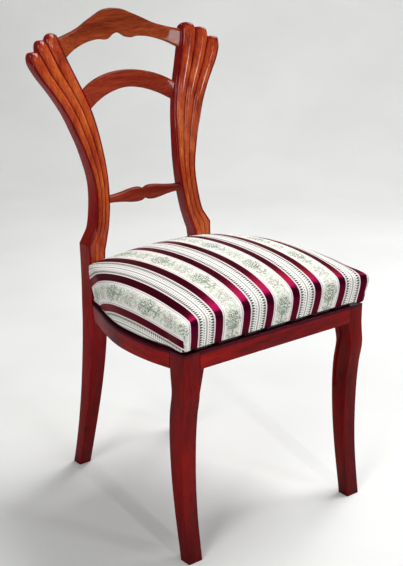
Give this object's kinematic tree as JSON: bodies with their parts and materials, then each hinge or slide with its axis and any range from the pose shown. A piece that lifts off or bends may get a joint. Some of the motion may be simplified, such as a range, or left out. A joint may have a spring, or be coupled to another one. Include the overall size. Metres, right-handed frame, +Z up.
{
  "type": "klismos-legged side chair",
  "caption": "Polished wooden side chair with sabre legs, reeded fan-shaped back posts, arched back rails and a domed, striped drop-in seat.",
  "frame": {"origin": "on the floor, under the middle of the chair's bounding box", "axes": "+Z up; the sitter faces -Y; +X to the right of somebody who looks at the chair's front from behind it, along +Y"},
  "size_m": [0.4416, 0.5084, 0.899],
  "materials": {
    "polished_wood": "red-brown stain under a high French polish",
    "beech": "planed, unpolished",
    "steel": "dull screw steel",
    "jute": "coarse woven webbing",
    "hessian": "open plain weave",
    "black_cloth": "thin dust cloth",
    "fibre": "curled fibre stuffing",
    "striped_fabric": "woven satin stripes in burgundy and cream"
  },
  "bodies": {
    "chair_frame": {"rear_post_left": "polished_wood", "rear_post_right": "polished_wood", "front_leg_left": "polished_wood", "front_leg_right": "polished_wood", "side_rail_left": "polished_wood", "side_rail_right": "polished_wood", "front_rail": "polished_wood", "rear_rail": "polished_wood", "crest_rail": "polished_wood", "arched_back_rail": "polished_wood", "lower_back_bar": "polished_wood", "corner_block_front_left": "beech", "corner_block_front_right": "beech", "corner_block_rear_left": "beech", "corner_block_rear_right": "beech", "block_screw_front_left_1": "steel", "block_screw_front_left_2": "steel", "block_screw_front_right_1": "steel", "block_screw_front_right_2": "steel", "block_screw_rear_left_1": "steel", "block_screw_rear_left_2": "steel", "block_screw_rear_right_1": "steel", "block_screw_rear_right_2": "steel"},
    "drop_in_seat": {"slip_frame_front": "beech", "slip_frame_rear": "beech", "slip_frame_left": "beech", "slip_frame_right": "beech", "webbing_cross_1": "jute", "webbing_cross_2": "jute", "webbing_cross_3": "jute", "webbing_long_1": "jute", "webbing_long_2": "jute", "webbing_long_3": "jute", "base_cloth": "hessian", "seat_stuffing": "fibre", "seat_cover": "striped_fabric", "dust_cloth": "black_cloth"}
  },
  "joints": [
    {"name": "seat_lift", "type": "slide", "parent": "chair_frame", "child": "drop_in_seat", "axis": [0, 0, 1], "range_m": [0, 0.15]}
  ]
}
